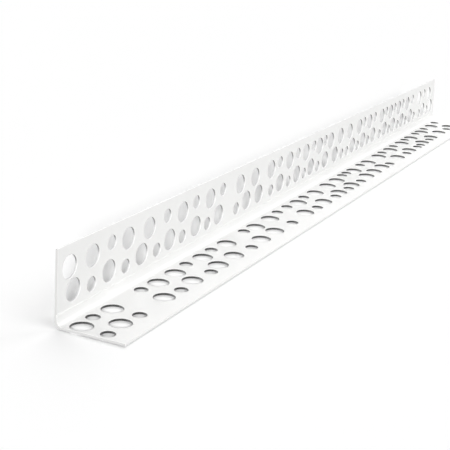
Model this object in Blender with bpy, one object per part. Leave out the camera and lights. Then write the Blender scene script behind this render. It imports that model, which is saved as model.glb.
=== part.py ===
"""Perforated plastic corner bead: a thin right-angle strip with a rounded nose and two rows of mixed bores in each leg.

The bead lies on one leg. It runs along X, the flat leg reaches towards -Y and the other leg stands up along Z.
The origin is under the middle of the bead's outer box, on the floor.
"""
import math

import bmesh
import bpy
from mathutils import Vector

MM = 0.001

# Section
LENGTH = 368.0 * MM
UPRIGHT_LEG = 24.7 * MM
FLAT_LEG = 24.7 * MM
WALL = 0.8 * MM
NOSE_RADIUS = 2.2 * MM
FILLET_RADIUS = 1.5 * MM
ROOT_RADIUS = 12.0 * MM
ROOT_HEIGHT = 4.2 * MM
LIP_RADIUS = 0.12 * MM

# The near end is sawn a little out of square: how far the flat leg's free corner lies behind the rest
END_DRIFT = 0.9 * MM

# Bores
LARGE_BORE = 7.4 * MM
SMALL_BORE = 4.8 * MM
LARGE_SIDES = 16
SMALL_SIDES = 12
CUT_MARGIN = 2.0 * MM

# Plain material from the outside of the nose to the first row's large bores, and between the two rows' large bores
UPRIGHT_NOSE_BAND = 6.0 * MM
UPRIGHT_ROW_BAND = 0.4 * MM
FLAT_NOSE_BAND = 3.3 * MM
FLAT_ROW_BAND = 0.9 * MM

# Each row is a punching tape read from the near end: L is a large bore, S a small one, and each dot is one more step
# of plain web on top of the least web. After its last mark a tape starts again, until the length is full.
LEAST_WEB = 0.5 * MM
WEB_STEP = 1.0 * MM
UPRIGHT_INNER = (
    "....L...S...L...S...L...S..L..S...L..S..L........S..L...L.....S..L..S..L.S.L.S..L"
    "....L..S.S.LS.LS.L...S.LSL.SLS.LS....SL.SL"
)
UPRIGHT_OUTER = (
    "..L....L....S...L.....L.....S....L...S....L...S........L.....L.......L..S...L..S..L"
    "..SLSL....L....L.....LS.L.S....LSLSLS.L..S......L..S..L"
)
FLAT_INNER = (
    "L.S..L............S..L...L...S...L..S...L..........S.L.....L...S....S..L..S...L"
    "......L...L...SSL.....S.L.......L..S..L..S...L..SL.....SL..S...L....S......"
)
FLAT_OUTER = (
    ".S..L..S..........L..S...L....S.L....L.....S....L....L.......S.........L...S...L"
    "....SL..SL..S....L..L...L.S.........L....S.L...SSL..SL.......L....S.L..S"
)

# Section faceting
NOSE_STEPS = 8
ROOT_STEPS = 4
LIP_STEPS = 2


def arc(centre, radius, start, sweep, steps):
    """Points of a circular arc in the section plane, angles in degrees."""
    points = []
    for i in range(steps + 1):
        angle = math.radians(start + sweep * i / steps)
        points.append((centre[0] + radius * math.cos(angle), centre[1] + radius * math.sin(angle)))
    return points


def section_outline():
    """The closed section: the nose at the back foot, legs towards -Y and +Z, as (distance from the back, height).

    Inside, the upright leg thickens in a long root curve down to the tight fillet.
    """
    lip = min(LIP_RADIUS, 0.45 * WALL)
    reach = ROOT_RADIUS - FILLET_RADIUS
    lean = math.asin((ROOT_HEIGHT - WALL - FILLET_RADIUS) / reach)
    root = (-WALL - ROOT_RADIUS, ROOT_HEIGHT)
    fillet = (root[0] + reach * math.cos(lean), root[1] - reach * math.sin(lean))
    lean = math.degrees(lean)
    outline = arc((-NOSE_RADIUS, NOSE_RADIUS), NOSE_RADIUS, -90.0, 90.0, NOSE_STEPS)
    outline += arc((-lip, UPRIGHT_LEG - lip), lip, 0.0, 90.0, LIP_STEPS)
    outline += arc((lip - WALL, UPRIGHT_LEG - lip), lip, 90.0, 90.0, LIP_STEPS)
    outline += arc(root, ROOT_RADIUS, 0.0, -lean, ROOT_STEPS)[:-1]
    outline += arc(fillet, FILLET_RADIUS, -lean, lean - 90.0, NOSE_STEPS)
    outline += arc((lip - FLAT_LEG, WALL - lip), lip, 90.0, 90.0, LIP_STEPS)
    outline += arc((lip - FLAT_LEG, lip), lip, 180.0, 90.0, LIP_STEPS)
    return outline


def punched_row(tape):
    """Bores of one row along the bead, as (distance from the near end, radius), as many as the length takes."""
    bores = []
    edge = LEAST_WEB
    while True:
        for mark in tape:
            if mark == ".":
                edge += WEB_STEP
                continue
            bore = LARGE_BORE if mark == "L" else SMALL_BORE
            if edge + bore + LEAST_WEB > LENGTH:
                return bores
            bores.append((edge + bore / 2, bore / 2))
            edge += bore + LEAST_WEB


def row_heights(nose_band, row_band):
    """Distances of the two rows' large bores from the outside of the nose: inner row, then outer row."""
    inner = nose_band + LARGE_BORE / 2
    outer = inner + LARGE_BORE + row_band
    return inner, outer


def add_cutter(bm, centre, axis, radius):
    """One round cutter that stands past both faces of a leg."""
    sides = LARGE_SIDES if radius > (LARGE_BORE + SMALL_BORE) / 4 else SMALL_SIDES
    turn = Vector((0.0, 0.0, 1.0)).rotation_difference(axis).to_matrix().to_4x4()
    turn.translation = centre
    bmesh.ops.create_cone(
        bm,
        cap_ends=True,
        cap_tris=False,
        segments=sides,
        radius1=radius,
        radius2=radius,
        depth=WALL + 2 * CUT_MARGIN,
        matrix=turn,
    )


def clear_scene():
    for obj in list(bpy.data.objects):
        bpy.data.objects.remove(obj, do_unlink=True)


def mesh_object(name, bm):
    bmesh.ops.recalc_face_normals(bm, faces=bm.faces)
    mesh = bpy.data.meshes.new(name)
    bm.to_mesh(mesh)
    bm.free()
    obj = bpy.data.objects.new(name, mesh)
    bpy.context.scene.collection.objects.link(obj)
    return obj


def extruded_angle():
    """The plain angle strip, drawn as its section at the near end, extruded along the bead and sawn at the near end."""
    back = FLAT_LEG / 2
    bm = bmesh.new()
    ring = [bm.verts.new((-LENGTH / 2, back + y, z)) for y, z in section_outline()]
    face = bm.faces.new(ring)
    result = bmesh.ops.extrude_face_region(bm, geom=[face])
    far = [v for v in result["geom"] if isinstance(v, bmesh.types.BMVert)]
    bmesh.ops.translate(bm, verts=far, vec=(LENGTH, 0.0, 0.0))
    for vertex in ring:
        vertex.co.x += END_DRIFT * (back - vertex.co.y) / FLAT_LEG
    return mesh_object("corner_bead", bm)


def bore_cutters():
    """Every bore's cutter in one object. In each row the small bores share the large bores' far tangent."""
    back = FLAT_LEG / 2
    bm = bmesh.new()
    inner, outer = row_heights(UPRIGHT_NOSE_BAND, UPRIGHT_ROW_BAND)
    for tape, height, side in ((UPRIGHT_INNER, inner, -1), (UPRIGHT_OUTER, outer, 1)):
        for place, radius in punched_row(tape):
            level = height + side * (LARGE_BORE / 2 - radius)
            centre = Vector((place - LENGTH / 2, back - WALL / 2, level))
            add_cutter(bm, centre, Vector((0.0, 1.0, 0.0)), radius)
    inner, outer = row_heights(FLAT_NOSE_BAND, FLAT_ROW_BAND)
    for tape, reach, side in ((FLAT_INNER, inner, -1), (FLAT_OUTER, outer, 1)):
        for place, radius in punched_row(tape):
            across = reach + side * (LARGE_BORE / 2 - radius)
            centre = Vector((place - LENGTH / 2, back - across, WALL / 2))
            add_cutter(bm, centre, Vector((0.0, 0.0, 1.0)), radius)
    cutters = mesh_object("bore_cutters", bm)
    cutters.hide_render = True
    cutters.display_type = "WIRE"
    return cutters


def punch(bead, cutters):
    """Cut every bore through its leg."""
    cut = bead.modifiers.new("bores", "BOOLEAN")
    cut.operation = "DIFFERENCE"
    cut.solver = "EXACT"
    cut.object = cutters


def white_pvc():
    """Extruded rigid PVC, an even matt white."""
    material = bpy.data.materials.new("white_pvc")
    material.use_nodes = True
    shader = material.node_tree.nodes["Principled BSDF"]
    shader.inputs["Base Color"].default_value = (0.87, 0.87, 0.86, 1.0)
    shader.inputs["Roughness"].default_value = 0.45
    shader.inputs["IOR"].default_value = 1.53
    return material


clear_scene()
corner_bead = extruded_angle()
punch(corner_bead, bore_cutters())
corner_bead.data.materials.append(white_pvc())
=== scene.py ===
"""A perforated plastic corner bead lying on one leg, on a plain pale floor."""
import math

import bpy
from mathutils import Matrix, Vector


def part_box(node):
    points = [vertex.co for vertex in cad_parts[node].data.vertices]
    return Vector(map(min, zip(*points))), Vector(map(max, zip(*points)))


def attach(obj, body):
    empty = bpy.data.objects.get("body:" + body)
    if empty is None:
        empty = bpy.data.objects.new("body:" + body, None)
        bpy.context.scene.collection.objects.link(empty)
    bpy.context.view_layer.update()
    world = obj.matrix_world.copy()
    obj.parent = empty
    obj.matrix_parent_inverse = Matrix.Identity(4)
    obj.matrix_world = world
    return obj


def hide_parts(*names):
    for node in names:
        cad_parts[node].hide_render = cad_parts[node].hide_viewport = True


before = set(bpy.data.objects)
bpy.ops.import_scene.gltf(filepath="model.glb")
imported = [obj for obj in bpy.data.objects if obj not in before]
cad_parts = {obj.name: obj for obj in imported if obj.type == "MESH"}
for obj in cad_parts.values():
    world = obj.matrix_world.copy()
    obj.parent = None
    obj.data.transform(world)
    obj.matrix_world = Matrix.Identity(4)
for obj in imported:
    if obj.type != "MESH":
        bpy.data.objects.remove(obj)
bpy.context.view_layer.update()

# Corner bead
# One strip of rigid PVC: two thin legs at a right angle and a rounded nose between them. It is extruded
# through a die, punched with its rows of bores as it cools, and sawn to length.

MM = 0.001

low, high = (Vector(corner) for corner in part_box("corner_bead"))
length = high.x - low.x
flat_leg = high.y - low.y
upright_leg = high.z - low.z
wall = 0.8 * MM
nose_radius = 2.2 * MM
fillet_radius = 1.5 * MM
root_radius = 12.0 * MM
root_height = 4.2 * MM
crease_depth = 0.11 * MM
crease_width = 0.4 * MM
bend_steps = 24
lip_radius = 0.12 * MM
lip_steps = 2
end_drift = 0.9 * MM
overshoot = 5 * MM
near = 0.01 * MM


def deselect_all():
    """Leave nothing selected or active, in object mode."""
    if bpy.context.object and bpy.context.object.mode != "OBJECT":
        bpy.ops.object.mode_set(mode="OBJECT")
    bpy.ops.object.select_all(action="DESELECT")
    bpy.context.view_layer.objects.active = None


def make_active(piece):
    """Leave only the piece selected, and active for the next operator."""
    deselect_all()
    piece.select_set(True)
    bpy.context.view_layer.objects.active = piece


def pick_edges(piece, wanted):
    """Select only the edges whose two ends the test wants, for the next edit."""
    bpy.context.tool_settings.mesh_select_mode = (False, True, False)
    for part in (piece.data.vertices, piece.data.edges, piece.data.polygons):
        part.foreach_set("select", [False] * len(part))
    for edge in piece.data.edges:
        edge.select = wanted(*(piece.data.vertices[i].co for i in edge.vertices))


def apply_modifiers(piece):
    """Put every modifier of the piece into its mesh."""
    make_active(piece)
    for modifier in list(piece.modifiers):
        bpy.ops.object.modifier_apply(modifier=modifier.name)


def settle(piece):
    """Put the piece's place and turn into its mesh."""
    make_active(piece)
    bpy.ops.object.transform_apply(location=True, rotation=True, scale=True)


def box(name, low_corner, high_corner):
    """A plain box between two corners."""
    deselect_all()
    middle, size = (low_corner + high_corner) / 2, high_corner - low_corner
    bpy.ops.mesh.primitive_cube_add(size=1.0, location=middle, scale=size)
    piece = bpy.context.object
    piece.name = name
    settle(piece)
    return piece


def cut_out(piece, tool):
    """Cut one object out of another and remove the tool. The cut faces keep the tool's material."""
    cut = piece.modifiers.new("cut", "BOOLEAN")
    cut.operation = "DIFFERENCE"
    cut.solver = "EXACT"
    cut.material_mode = "TRANSFER"
    cut.object = tool
    apply_modifiers(piece)
    bpy.data.objects.remove(tool, do_unlink=True)


def round_long_edges(piece, wanted, radius, steps):
    """Round the edges along the strip whose place in the section, from the nose's outside, the test wants."""
    def is_wanted(a, b):
        places = [(high.y - p.y, p.z - low.z) for p in (a, b)]
        return abs(a.x - b.x) > MM and all(wanted(back, height) for back, height in places)

    pick_edges(piece, is_wanted)
    bpy.ops.object.mode_set(mode="EDIT")
    bpy.ops.mesh.bevel(offset=radius, segments=steps, affect="EDGES")
    bpy.ops.object.mode_set(mode="OBJECT")


inside_low = Vector((low.x - overshoot, low.y - overshoot, low.z + wall))
inside_high = Vector((high.x + overshoot, high.y - wall, high.z + overshoot))
bead = box("punched_bead", low, high)
cut_out(bead, box("inside_angle", inside_low, inside_high))

round_long_edges(bead, lambda back, height: back < near and height < near, nose_radius, bend_steps)
inside_round = root_height - wall
round_long_edges(
    bead, lambda back, height: abs(back - wall) < near and abs(height - wall) < near, inside_round, bend_steps
)

# The plain inside round becomes the die's own form: from its top the upright leg's face leans out along the
# root curve and turns the corner in the tight fillet.
root_reach = root_radius - fillet_radius
root_lean = math.asin((inside_round - fillet_radius) / root_reach)
fillet_back = wall + root_radius - root_reach * math.cos(root_lean)
fillet_height = wall + fillet_radius
least_turn = math.radians(0.001)
for vertex in bead.data.vertices:
    back, height = high.y - vertex.co.y, vertex.co.z - low.z
    if min(back, height) < wall - near or max(back, height) > root_height + near:
        continue
    turn = math.atan2(root_height - height, root_height - back)
    if turn < least_turn:
        continue
    if turn < root_lean:
        back = wall + root_radius * (1 - math.cos(turn))
        height = root_height - root_radius * math.sin(turn)
    else:
        back = fillet_back - fillet_radius * math.cos(turn)
        height = fillet_height - fillet_radius * math.sin(turn)
    vertex.co.y, vertex.co.z = high.y - back, low.z + height
round_long_edges(
    bead, lambda back, height: back > flat_leg - near or height > upright_leg - near, lip_radius, lip_steps
)

# The die leaves a fine crease where the upright leg's flat face meets the root curve.
deselect_all()
bpy.ops.mesh.primitive_cylinder_add(
    vertices=4,
    radius=1.0,
    depth=1.0,
    location=(0.0, high.y - wall, low.z + root_height),
    rotation=(0.0, math.radians(90.0), 0.0),
    scale=(crease_width / 2, crease_depth, length + 2 * overshoot),
)
crease = bpy.context.object
settle(crease)
cut_out(bead, crease)

large_bore = 7.4 * MM
small_bore = 4.8 * MM
large_sides = 40
small_sides = 32

upright_nose_band = 6.0 * MM
upright_row_band = 0.4 * MM
flat_nose_band = 3.3 * MM
flat_row_band = 0.9 * MM

# The punching tape of each row, as in the solid. It is read from the near end: L is a large bore, S a small
# one, and each dot is one more step of plain web on top of the least web.
least_web = 0.5 * MM
web_step = 1.0 * MM
upright_inner = (
    "....L...S...L...S...L...S..L..S...L..S..L........S..L...L.....S..L..S..L.S.L.S..L"
    "....L..S.S.LS.LS.L...S.LSL.SLS.LS....SL.SL"
)
upright_outer = (
    "..L....L....S...L.....L.....S....L...S....L...S........L.....L.......L..S...L..S..L"
    "..SLSL....L....L.....LS.L.S....LSLSLS.L..S......L..S..L"
)
flat_inner = (
    "L.S..L............S..L...L...S...L..S...L..........S.L.....L...S....S..L..S...L"
    "......L...L...SSL.....S.L.......L..S..L..S...L..SL.....SL..S...L....S......"
)
flat_outer = (
    ".S..L..S..........L..S...L....S.L....L.....S....L....L.......S.........L...S...L"
    "....SL..SL..S....L..L...L.S.........L....S.L...SSL..SL.......L....S.L..S"
)


def punched_row(tape):
    """Bores of one row, as (distance from the near end, is it large), as many as the length takes."""
    bores = []
    edge = least_web
    while True:
        for mark in tape:
            if mark == ".":
                edge += web_step
                continue
            bore = large_bore if mark == "L" else small_bore
            if edge + bore + least_web > length:
                return bores
            bores.append((edge + bore / 2, mark == "L"))
            edge += bore + least_web


# Short bays along the strip keep every flat face small, so that it stays clean when it is punched. Their
# lines keep off the sides and the corners of the bores' outlines.
bays = 32
side_clearance = 0.4 * MM
corner_clearance = 0.12 * MM
place_step = 0.02 * MM
most_steps = 200


def clear_of_bores(place):
    """The nearest place along the strip that keeps off the sides and the corners of every bore's outline."""
    sides, corners = [], []
    for tape in (upright_inner, upright_outer, flat_inner, flat_outer):
        for middle, is_large in punched_row(tape):
            radius, count = (large_bore / 2, large_sides) if is_large else (small_bore / 2, small_sides)
            sides += [middle - radius, middle + radius]
            corners += [middle + radius * math.cos(2 * math.pi * i / count) for i in range(count // 2 + 1)]
    for i in range(most_steps):
        for moved in (place + i * place_step, place - i * place_step):
            is_clear = all(abs(moved - side) > side_clearance for side in sides)
            if is_clear and all(abs(moved - corner) > corner_clearance for corner in corners):
                return moved
    return place


pick_edges(bead, lambda a, b: abs(a.x - b.x) > MM)
bpy.ops.object.mode_set(mode="EDIT")
bpy.ops.mesh.subdivide(number_cuts=bays - 1)
bpy.ops.object.mode_set(mode="OBJECT")
bay_lines = [clear_of_bores(length * i / bays) for i in range(1, bays)]
for vertex in bead.data.vertices:
    line = round((vertex.co.x - low.x) * bays / length)
    if 0 < line < bays:
        vertex.co.x = low.x + bay_lines[line - 1]

# The near end is sawn a little out of square.
for vertex in bead.data.vertices:
    if vertex.co.x < low.x + near:
        vertex.co.x += end_drift * (high.y - vertex.co.y) / flat_leg


punch_length = wall + 2 * MM


def round_punch(name, bore, sides):
    """A plain round punch that stands past both faces of a leg."""
    deselect_all()
    bpy.ops.mesh.primitive_cylinder_add(
        vertices=sides, radius=bore / 2, depth=punch_length, end_fill_type="NGON"
    )
    punch = bpy.context.object
    punch.name = name
    return punch


def row_cutters(tape, punch_large, punch_small, nose_band, outward, upright):
    """A copy of a punch at every bore of the row. The small bores share the large bores' outward tangent."""
    copies = []
    for place, is_large in punched_row(tape):
        punch = punch_large if is_large else punch_small
        copy = punch.copy()
        copy.data = punch.data.copy()
        bpy.context.scene.collection.objects.link(copy)
        offset = 0.0 if is_large else outward * (large_bore - small_bore) / 2
        reach = nose_band + large_bore / 2 + offset
        if upright:
            copy.rotation_euler = (math.radians(90.0), 0.0, 0.0)
            copy.location = (low.x + place, high.y - wall / 2, low.z + reach)
        else:
            copy.location = (low.x + place, high.y - reach, low.z + wall / 2)
        copies.append(copy)
    return copies


def colour(hex_code):
    """A written sRGB colour in the linear values that a shader takes."""
    values = []
    for i in (0, 2, 4):
        value = int(hex_code[i:i + 2], 16) / 255
        values.append(value / 12.92 if value <= 0.04045 else ((value + 0.055) / 1.055) ** 2.4)
    return (*values, 1.0)


def add_node(tree, kind, settings=None, inputs=None):
    """Add a node, set its properties, and set or link its inputs."""
    node = tree.nodes.new(kind)
    for name, value in (settings or {}).items():
        setattr(node, name, value)
    for name, value in (inputs or {}).items():
        if isinstance(value, bpy.types.NodeSocket):
            tree.links.new(value, node.inputs[name])
        else:
            node.inputs[name].default_value = value
    return node


pvc_ior = 1.53
draw_line_width = 0.6 * MM
draw_line_depth = 0.02 * MM
draw_line_stretch = (0.02, 1.0, 1.0)
cloud_width = 22 * MM


def extruded_pvc():
    """Rigid white PVC from an extrusion die: an even matt white with faint draw lines along the strip.

    Real draw lines are finer than the render can show, so they are drawn wider.
    """
    material = bpy.data.materials.new("extruded_white_pvc")
    material.use_nodes = True
    tree = material.node_tree
    shader = tree.nodes["Principled BSDF"]
    place = add_node(tree, "ShaderNodeTexCoord")
    along = add_node(
        tree, "ShaderNodeMapping", None, {"Vector": place.outputs["Object"], "Scale": draw_line_stretch}
    )
    draw_lines = add_node(
        tree,
        "ShaderNodeTexNoise",
        None,
        {"Vector": along.outputs["Vector"], "Scale": 1 / draw_line_width, "Detail": 3.0},
    )
    cloud = add_node(
        tree,
        "ShaderNodeTexNoise",
        None,
        {"Vector": place.outputs["Object"], "Scale": 1 / cloud_width, "Detail": 2.0},
    )
    tone = add_node(
        tree,
        "ShaderNodeMix",
        {"data_type": "RGBA"},
        {"Factor": cloud.outputs["Fac"], 6: colour("e7e7e6"), 7: colour("e4e4e3")},
    )
    tree.links.new(tone.outputs[2], shader.inputs["Base Color"])
    gloss = add_node(
        tree, "ShaderNodeMapRange", None, {"Value": draw_lines.outputs["Fac"], "To Min": 0.36, "To Max": 0.5}
    )
    tree.links.new(gloss.outputs["Result"], shader.inputs["Roughness"])
    relief = add_node(
        tree,
        "ShaderNodeBump",
        None,
        {"Height": draw_lines.outputs["Fac"], "Strength": 0.12, "Distance": draw_line_depth},
    )
    tree.links.new(relief.outputs["Normal"], shader.inputs["Normal"])
    shader.inputs["IOR"].default_value = pvc_ior
    return material


def shaded_cut_pvc(name, shaded_side, start, end, less_shaded_tone, shaded_tone, top_share=1.0):
    """PVC where a punch or a saw cut it: duller, and grey with painted shade, deepest on faces turned to the
    shaded side.

    The painted shade grows from start to end, two cosines of the angle between the face and the shaded side.
    Top share is how much of it is left at the flat leg's top face; it is fullest at the leg's bottom.
    """
    material = bpy.data.materials.new(name)
    material.use_nodes = True
    tree = material.node_tree
    shader = tree.nodes["Principled BSDF"]
    facing = add_node(tree, "ShaderNodeNewGeometry")
    side = add_node(
        tree,
        "ShaderNodeVectorMath",
        {"operation": "DOT_PRODUCT"},
        {0: facing.outputs["True Normal"], 1: shaded_side},
    )
    side_shade = add_node(
        tree, "ShaderNodeMapRange", None, {"Value": side.outputs["Value"], "From Min": start, "From Max": end}
    )
    place = add_node(tree, "ShaderNodeTexCoord")
    parts = add_node(tree, "ShaderNodeSeparateXYZ", None, {"Vector": place.outputs["Object"]})
    depth = add_node(
        tree,
        "ShaderNodeMapRange",
        None,
        {
            "Value": parts.outputs["Z"],
            "From Min": low.z,
            "From Max": low.z + wall,
            "To Min": 1.0,
            "To Max": top_share,
        },
    )
    share = add_node(
        tree,
        "ShaderNodeMath",
        {"operation": "MULTIPLY"},
        {0: side_shade.outputs["Result"], 1: depth.outputs["Result"]},
    )
    tone = add_node(
        tree,
        "ShaderNodeMix",
        {"data_type": "RGBA"},
        {"Factor": share.outputs["Value"], 6: colour(less_shaded_tone), 7: colour(shaded_tone)},
    )
    tree.links.new(tone.outputs[2], shader.inputs["Base Color"])
    shader.inputs["Roughness"].default_value = 0.6
    shader.inputs["IOR"].default_value = pvc_ior
    return material


pvc = extruded_pvc()
# Painted shade: the upright leg's bore walls are grey, and darker where they face down.
upright_edge_shaded_pvc = shaded_cut_pvc(
    "upright_punched_edge_painted_shade",
    shaded_side=(0.0, 0.0, -1.0),
    start=-0.15,
    end=0.35,
    less_shaded_tone="cbcbcb",
    shaded_tone="909090",
)
# Painted shade: the flat leg's bore walls are dark grey, nearly black where they face the near end and the
# free edge, and darkest at the bottom.
flat_edge_shaded_pvc = shaded_cut_pvc(
    "flat_punched_edge_painted_shade",
    shaded_side=(-0.73, -0.68, 0.0),
    start=0.25,
    end=0.9,
    less_shaded_tone="8c8c8c",
    shaded_tone="0a0a0a",
    top_share=0.85,
)
# Painted shade: the sawn ends are greyer than the strip, and the near end a little more.
sawn_shaded_pvc = shaded_cut_pvc(
    "sawn_end_painted_shade",
    shaded_side=(-1.0, 0.0, 0.0),
    start=0.0,
    end=1.0,
    less_shaded_tone="cecece",
    shaded_tone="c6c6c5",
)

punch_large = round_punch("large_punch", large_bore, large_sides)
punch_small = round_punch("small_punch", small_bore, small_sides)
upright_outer_band = upright_nose_band + large_bore + upright_row_band
upright_punches = row_cutters(upright_inner, punch_large, punch_small, upright_nose_band, -1, True)
upright_punches += row_cutters(upright_outer, punch_large, punch_small, upright_outer_band, 1, True)
flat_outer_band = flat_nose_band + large_bore + flat_row_band
flat_punches = row_cutters(flat_inner, punch_large, punch_small, flat_nose_band, -1, False)
flat_punches += row_cutters(flat_outer, punch_large, punch_small, flat_outer_band, 1, False)


upright_rim = 0.15 * MM
upright_rim_steps = 3
crisp_rim = 0.05 * MM
rim_turn = math.radians(60)
plain_lip_band = 1.5 * MM


def round_rims(piece, wanted, radius, steps):
    """Round the edges that turn by more than the rim turn, where the test wants both ends."""
    make_active(piece)
    bpy.context.tool_settings.mesh_select_mode = (False, True, False)
    bpy.ops.object.mode_set(mode="EDIT")
    bpy.ops.mesh.select_all(action="DESELECT")
    bpy.ops.mesh.edges_select_sharp(sharpness=rim_turn)
    bpy.ops.object.mode_set(mode="OBJECT")
    sharp = {tuple(edge.vertices) for edge in piece.data.edges if edge.select}
    places = [vertex.co.copy() for vertex in piece.data.vertices]
    for part in (piece.data.vertices, piece.data.edges, piece.data.polygons):
        part.foreach_set("select", [False] * len(part))
    for edge in piece.data.edges:
        edge.select = tuple(edge.vertices) in sharp and all(wanted(places[i]) for i in edge.vertices)
    bpy.ops.object.mode_set(mode="EDIT")
    bpy.ops.mesh.bevel(offset=radius, segments=steps, affect="EDGES", clamp_overlap=False)
    bpy.ops.object.mode_set(mode="OBJECT")


def punch_through(punches, material):
    """Join the punches and cut them all out of the bead. The walls of the bores take the material."""
    deselect_all()
    for punch in punches:
        punch.select_set(True)
    bpy.context.view_layer.objects.active = punches[0]
    bpy.ops.object.join()
    tool = bpy.context.object
    settle(tool)
    tool.data.materials.clear()
    tool.data.materials.append(material)
    cut_out(bead, tool)


# The upright leg is punched and its rims are eased first, then the flat leg is punched.
bead.data.materials.clear()
bead.data.materials.append(pvc)
punch_through(upright_punches, upright_edge_shaded_pvc)
upright_low, upright_high = low.z + upright_nose_band / 2, high.z - plain_lip_band
round_rims(bead, lambda p: upright_low < p.z < upright_high, upright_rim, upright_rim_steps)
punch_through(flat_punches, flat_edge_shaded_pvc)
bpy.data.objects.remove(punch_large, do_unlink=True)
bpy.data.objects.remove(punch_small, do_unlink=True)

# The flat leg's rims and the ends keep almost crisp.
round_rims(bead, lambda p: True, crisp_rim, 1)

# The rims keep flush with the upright leg's two faces and with the sawn ends.
for vertex in bead.data.vertices:
    back = high.y - vertex.co.y
    if vertex.co.z > low.z + root_height + crease_width:
        back = min(max(back, 0.0), wall)
    vertex.co.y = high.y - back
    vertex.co.x = min(max(vertex.co.x, low.x + end_drift * back / flat_leg), high.x)

# A rim turning into the leg's face takes the strip's own finish again; the ends take the sawn one, with
# painted shade.
bead.data.materials.append(sawn_shaded_pvc)
strip_finish, upright_shaded_wall, flat_shaded_wall, sawn_shaded_end = range(len(bead.data.materials))
rim_lean = 0.3
square_on = 0.9
for face in bead.data.polygons:
    if face.material_index == flat_shaded_wall and abs(face.normal.z) > rim_lean:
        face.material_index = strip_finish
    if face.material_index == upright_shaded_wall and abs(face.normal.y) > rim_lean:
        face.material_index = strip_finish
    at_near_end = face.normal.x < -square_on and face.center.x < low.x + end_drift
    at_far_end = face.normal.x > square_on and face.center.x > high.x - near
    if at_near_end or at_far_end:
        face.material_index = sawn_shaded_end

smooth_turn = math.radians(40)
make_active(bead)
bpy.ops.object.shade_smooth_by_angle(angle=smooth_turn)
even = bead.modifiers.new("even_shading", "WEIGHTED_NORMAL")
even.mode = "FACE_AREA"
even.keep_sharp = True
apply_modifiers(bead)

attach(bead, "root")
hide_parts("corner_bead")

# Floor
# A pale seamless floor, painted matt. The camera sees it white, and it keeps the bead's soft shadow. The bead
# lies a hair above it, and the gap shows as a dark line under the bores.

floor_gap = 0.3 * MM
floor_width = 6.0

deselect_all()
bpy.ops.mesh.primitive_plane_add(size=floor_width, location=(0.0, 0.0, low.z - floor_gap))
floor = bpy.context.object
floor.name = "floor"


def white_to_camera(tree):
    """1 for rays that show the background: from the camera, in a reflection or through a clear solid."""
    path = add_node(tree, "ShaderNodeLightPath")
    seen = path.outputs["Is Camera Ray"]
    for other in ("Is Glossy Ray", "Is Transmission Ray"):
        seen = add_node(tree, "ShaderNodeMath", {"operation": "MAXIMUM"}, {0: seen, 1: path.outputs[other]})
        seen = seen.outputs["Value"]
    return seen


def pale_floor():
    """A matt painted floor."""
    material = bpy.data.materials.new("pale_floor")
    material.use_nodes = True
    tree = material.node_tree
    shader = tree.nodes["Principled BSDF"]
    tone = add_node(
        tree,
        "ShaderNodeMix",
        {"data_type": "RGBA"},
        {"Factor": white_to_camera(tree), 6: colour("b0b0b0"), 7: colour("ffffff")},
    )
    tree.links.new(tone.outputs[2], shader.inputs["Base Color"])
    shader.inputs["Roughness"].default_value = 0.9
    shader.inputs["Specular IOR Level"].default_value = 0.0
    return material


floor.data.materials.append(pale_floor())

# Light
# A low key lamp from the near end's side, a soft fill from the far end's side, broad lamps behind and in
# front, and a dim white surround, which the camera sees at full white.

surround_level = 0.07
key_level = 3.75
key_height = math.radians(17.0)
key_side = math.radians(61.0)
key_width = math.radians(8.0)
fill_level = 0.5
fill_height = math.radians(35.0)
fill_side = math.radians(-70.0)
fill_width = math.radians(30.0)
back_level = 1.35
back_height = math.radians(40.0)
back_side = math.radians(-120.0)
back_width = math.radians(45.0)
front_level = 0.9
front_height = math.radians(48.0)
front_side = math.radians(10.0)
front_width = math.radians(40.0)

world = bpy.data.worlds.new("white_surround")
bpy.context.scene.world = world
world.use_nodes = True
tree = world.node_tree
level = add_node(
    tree,
    "ShaderNodeMapRange",
    None,
    {"Value": white_to_camera(tree), "To Min": surround_level, "To Max": 1.0},
)
tree.nodes["Background"].inputs["Color"].default_value = (1.0, 1.0, 1.0, 1.0)
tree.links.new(level.outputs["Result"], tree.nodes["Background"].inputs["Strength"])


def soft_lamp(name, strength, height, side, width):
    """A far soft lamp. Its height is an angle above the floor, its side a turn from square in front."""
    deselect_all()
    turn = (math.pi / 2 - height, 0.0, -side)
    bpy.ops.object.light_add(type="SUN", rotation=turn)
    lamp = bpy.context.object
    lamp.name = name
    lamp.data.energy = strength
    lamp.data.angle = width


soft_lamp("low_key_lamp", key_level, key_height, key_side, key_width)
soft_lamp("fill_lamp", fill_level, fill_height, fill_side, fill_width)
soft_lamp("back_lamp", back_level, back_height, back_side, back_width)
soft_lamp("front_lamp", front_level, front_height, front_side, front_width)

# Camera
# A long lens about a third of a metre from the near end, a little above the bead and looking along it.

photo_width = 450
sensor_width = 36.0
focal_px = 1074.3
centre_px = (226.0, 57.3)
station = Vector((low.x - 245.8 * MM, high.y - 183.3 * MM, low.z + 131.5 * MM))
yaw = math.radians(62.24)
dip = math.radians(8.96)
roll = math.radians(2.39)

ahead = Vector((math.sin(yaw) * math.cos(dip), math.cos(yaw) * math.cos(dip), -math.sin(dip)))
level_right = Vector((math.cos(yaw), -math.sin(yaw), 0.0))
level_up = level_right.cross(ahead)
right = math.cos(roll) * level_right + math.sin(roll) * level_up
up = math.cos(roll) * level_up - math.sin(roll) * level_right

deselect_all()
bpy.ops.object.camera_add(location=station)
camera = bpy.context.object
camera.name = "camera"
turn = Matrix((right, up, -ahead)).transposed()
camera.rotation_euler = turn.to_euler()
camera.data.sensor_width = sensor_width
camera.data.lens = sensor_width * focal_px / photo_width
camera.data.shift_x = (photo_width / 2 - centre_px[0]) / photo_width
camera.data.shift_y = (centre_px[1] - photo_width / 2) / photo_width
camera.data.clip_start = 0.01
camera.data.clip_end = 20.0
bpy.context.scene.camera = camera
bpy.context.scene.view_settings.view_transform = "Standard"
